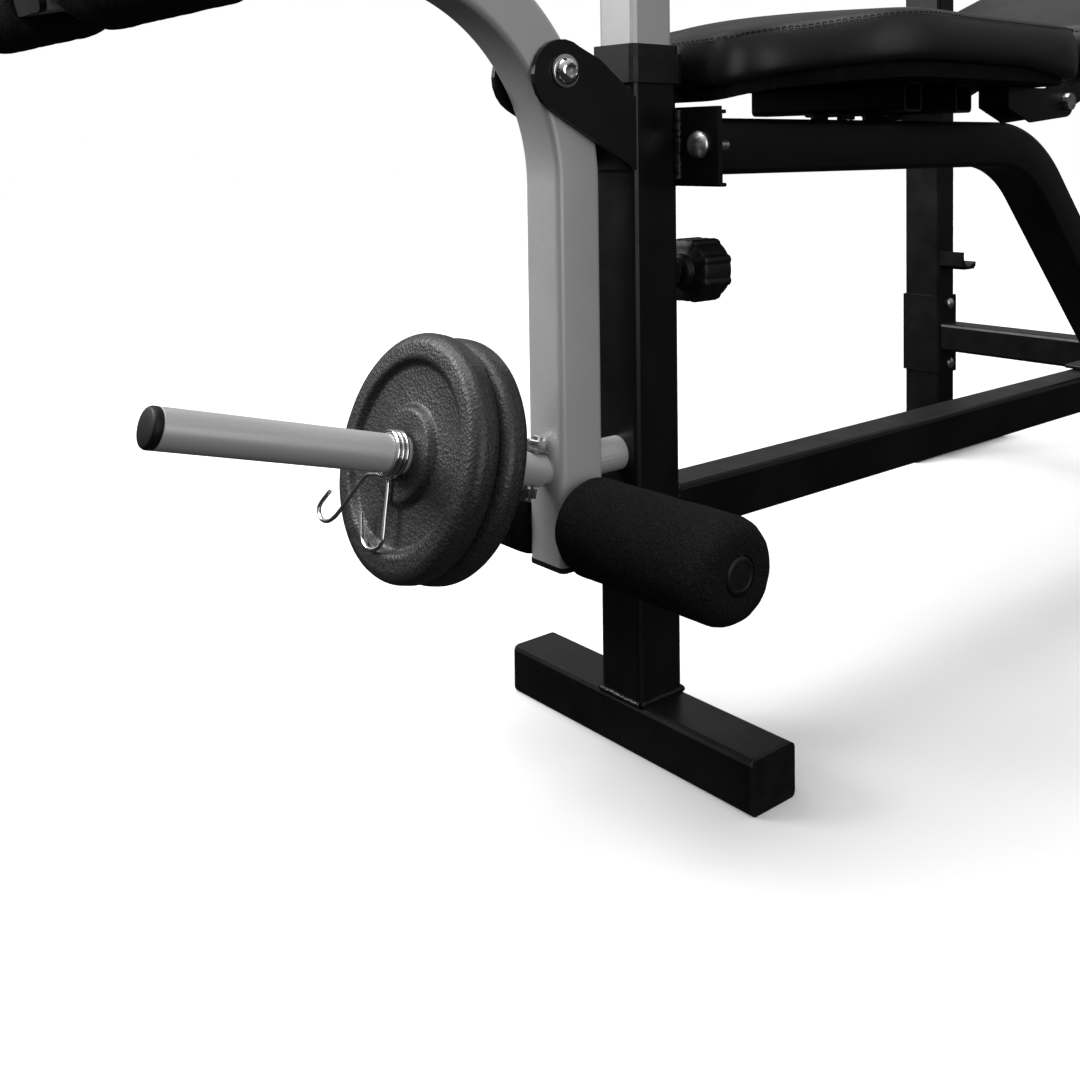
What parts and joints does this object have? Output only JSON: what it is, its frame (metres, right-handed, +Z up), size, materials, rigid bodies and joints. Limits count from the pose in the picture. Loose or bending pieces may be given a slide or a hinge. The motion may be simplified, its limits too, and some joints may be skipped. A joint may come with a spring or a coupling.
{
  "type": "adjustable weight bench",
  "caption": "Weight bench with padded seat, tilting backrest, arm-curl pad, swinging leg developer with foam rollers and plate horn, and telescoping barbell posts.",
  "frame": {"origin": "on the floor, at the centre of the front foot's underside, below the front post", "axes": "+Z up, +Y from the leg developer towards the head end, +X to the right of a person lying on the bench looking towards the head end"},
  "size_m": [0.909, 1.5844, 1.072],
  "materials": {
    "black_coat": "satin",
    "silver_paint": "satin",
    "black_plastic": "matte",
    "black_vinyl": "semi-gloss",
    "black_foam": "matte, open cell",
    "cast_iron": "hammertone",
    "zinc": "zinc plated",
    "chrome": "polished",
    "board": "matte black"
  },
  "bodies": {
    "frame": {"front_foot": "black_coat", "front_post": "black_coat", "pivot_bracket": "black_coat", "post_flange": "black_coat", "seat_frame_tube": "black_coat", "stringer": "black_coat", "seat_rail_front": "black_coat", "seat_rail_rear": "black_coat", "hinge_bracket_right": "black_coat", "hinge_bracket_left": "black_coat", "upright_right": "black_coat", "upright_left": "black_coat", "upright_sleeve_right": "black_coat", "upright_sleeve_left": "black_coat", "rear_foot_right": "black_coat", "rear_foot_left": "black_coat", "rear_crossbar": "black_coat", "front_foot_cap_right": "black_plastic", "front_foot_cap_left": "black_plastic", "post_collar": "black_plastic", "seat_cushion": "black_vinyl", "flange_bolt_right": "zinc", "flange_bolt_left": "zinc", "hinge_bolt_right": "zinc", "hinge_bolt_left": "zinc", "pivot_bolt": "chrome", "seat_board": "board"},
    "post_knob": {"post_knob": "black_plastic"},
    "rack_knob_right": {"rack_knob_right": "black_plastic"},
    "rack_knob_left": {"rack_knob_left": "black_plastic"},
    "arm_curl": {"arm_curl_post": "silver_paint", "arm_curl_board": "board", "arm_curl_cushion": "black_vinyl"},
    "leg_developer": {"leg_tube": "silver_paint", "leg_tube_cap_lower": "black_plastic", "leg_tube_cap_upper": "black_plastic", "bump_stop": "silver_paint", "horn": "silver_paint", "horn_bolt": "zinc", "horn_cap": "black_plastic", "roller_rod_lower": "silver_paint", "roller_rod_upper": "silver_paint", "rod_cap_lower_right": "black_plastic", "rod_cap_lower_left": "black_plastic", "rod_cap_upper_right": "black_plastic", "rod_cap_upper_left": "black_plastic"},
    "spring_collar": {"spring_collar": "chrome"},
    "plate_near": {"plate_near": "cast_iron"},
    "plate_far": {"plate_far": "cast_iron"},
    "backrest": {"backrest_frame": "black_coat", "backrest_board": "board", "backrest_cushion": "black_vinyl"},
    "support_bar": {"support_bar": "zinc"},
    "rack_post_right": {"rack_post_right": "silver_paint"},
    "rack_post_left": {"rack_post_left": "silver_paint"},
    "roller_lower_right": {"roller_lower_right": "black_foam"},
    "roller_lower_left": {"roller_lower_left": "black_foam"},
    "roller_upper_right": {"roller_upper_right": "black_foam"},
    "roller_upper_left": {"roller_upper_left": "black_foam"}
  },
  "joints": [
    {"name": "leg_developer_pivot", "type": "hinge", "parent": "frame", "child": "leg_developer", "pos_m": [0, -0.09, 0.5177], "axis": [-1, 0, 0], "range_deg": [0, 65]},
    {"name": "spring_collar_slide", "type": "slide", "parent": "leg_developer", "child": "spring_collar", "axis": [0, -0.965, 0.2622], "range_m": [0, 0.13]},
    {"name": "plate_near_spin", "type": "hinge", "parent": "spring_collar", "child": "plate_near", "pos_m": [0, -0.20138, 0.25956], "axis": [0, -0.965, 0.2622], "continuous": true},
    {"name": "plate_far_spin", "type": "hinge", "parent": "spring_collar", "child": "plate_far", "pos_m": [0, -0.17919, 0.25354], "axis": [0, -0.965, 0.2622], "continuous": true},
    {"name": "arm_curl_slide", "type": "slide", "parent": "frame", "child": "arm_curl", "axis": [0, 0, 1], "range_m": [-0.02, 0.1]},
    {"name": "post_knob_turn", "type": "hinge", "parent": "frame", "child": "post_knob", "pos_m": [0, 0.05, 0.365], "axis": [0, 1, 0], "continuous": true},
    {"name": "backrest_tilt", "type": "hinge", "parent": "frame", "child": "backrest", "pos_m": [0, 0.49, 0.505], "axis": [1, 0, 0], "range_deg": [0, 35]},
    {"name": "support_bar_lift_out", "type": "slide", "parent": "frame", "child": "support_bar", "axis": [0, 0.9397, 0.342], "range_m": [0, 0.06]},
    {"name": "rack_post_right_slide", "type": "slide", "parent": "frame", "child": "rack_post_right", "axis": [0, 0, 1], "range_m": [-0.05, 0.15]},
    {"name": "rack_knob_right_turn", "type": "hinge", "parent": "frame", "child": "rack_knob_right", "pos_m": [0.42, 0.925, 0.86], "axis": [1, 0, 0], "continuous": true},
    {"name": "rack_post_left_slide", "type": "slide", "parent": "frame", "child": "rack_post_left", "axis": [0, 0, 1], "range_m": [-0.05, 0.15]},
    {"name": "rack_knob_left_turn", "type": "hinge", "parent": "frame", "child": "rack_knob_left", "pos_m": [-0.42, 0.925, 0.86], "axis": [-1, 0, 0], "continuous": true},
    {"name": "roller_lower_right_spin", "type": "hinge", "parent": "leg_developer", "child": "roller_lower_right", "pos_m": [0.0985, -0.073, 0.192], "axis": [1, 0, 0], "continuous": true},
    {"name": "roller_lower_left_spin", "type": "hinge", "parent": "leg_developer", "child": "roller_lower_left", "pos_m": [-0.0985, -0.073, 0.192], "axis": [-1, 0, 0], "continuous": true},
    {"name": "roller_upper_right_spin", "type": "hinge", "parent": "leg_developer", "child": "roller_upper_right", "pos_m": [0.0985, -0.403, 0.563], "axis": [1, 0, 0], "continuous": true},
    {"name": "roller_upper_left_spin", "type": "hinge", "parent": "leg_developer", "child": "roller_upper_left", "pos_m": [-0.0985, -0.403, 0.563], "axis": [-1, 0, 0], "continuous": true}
  ]
}
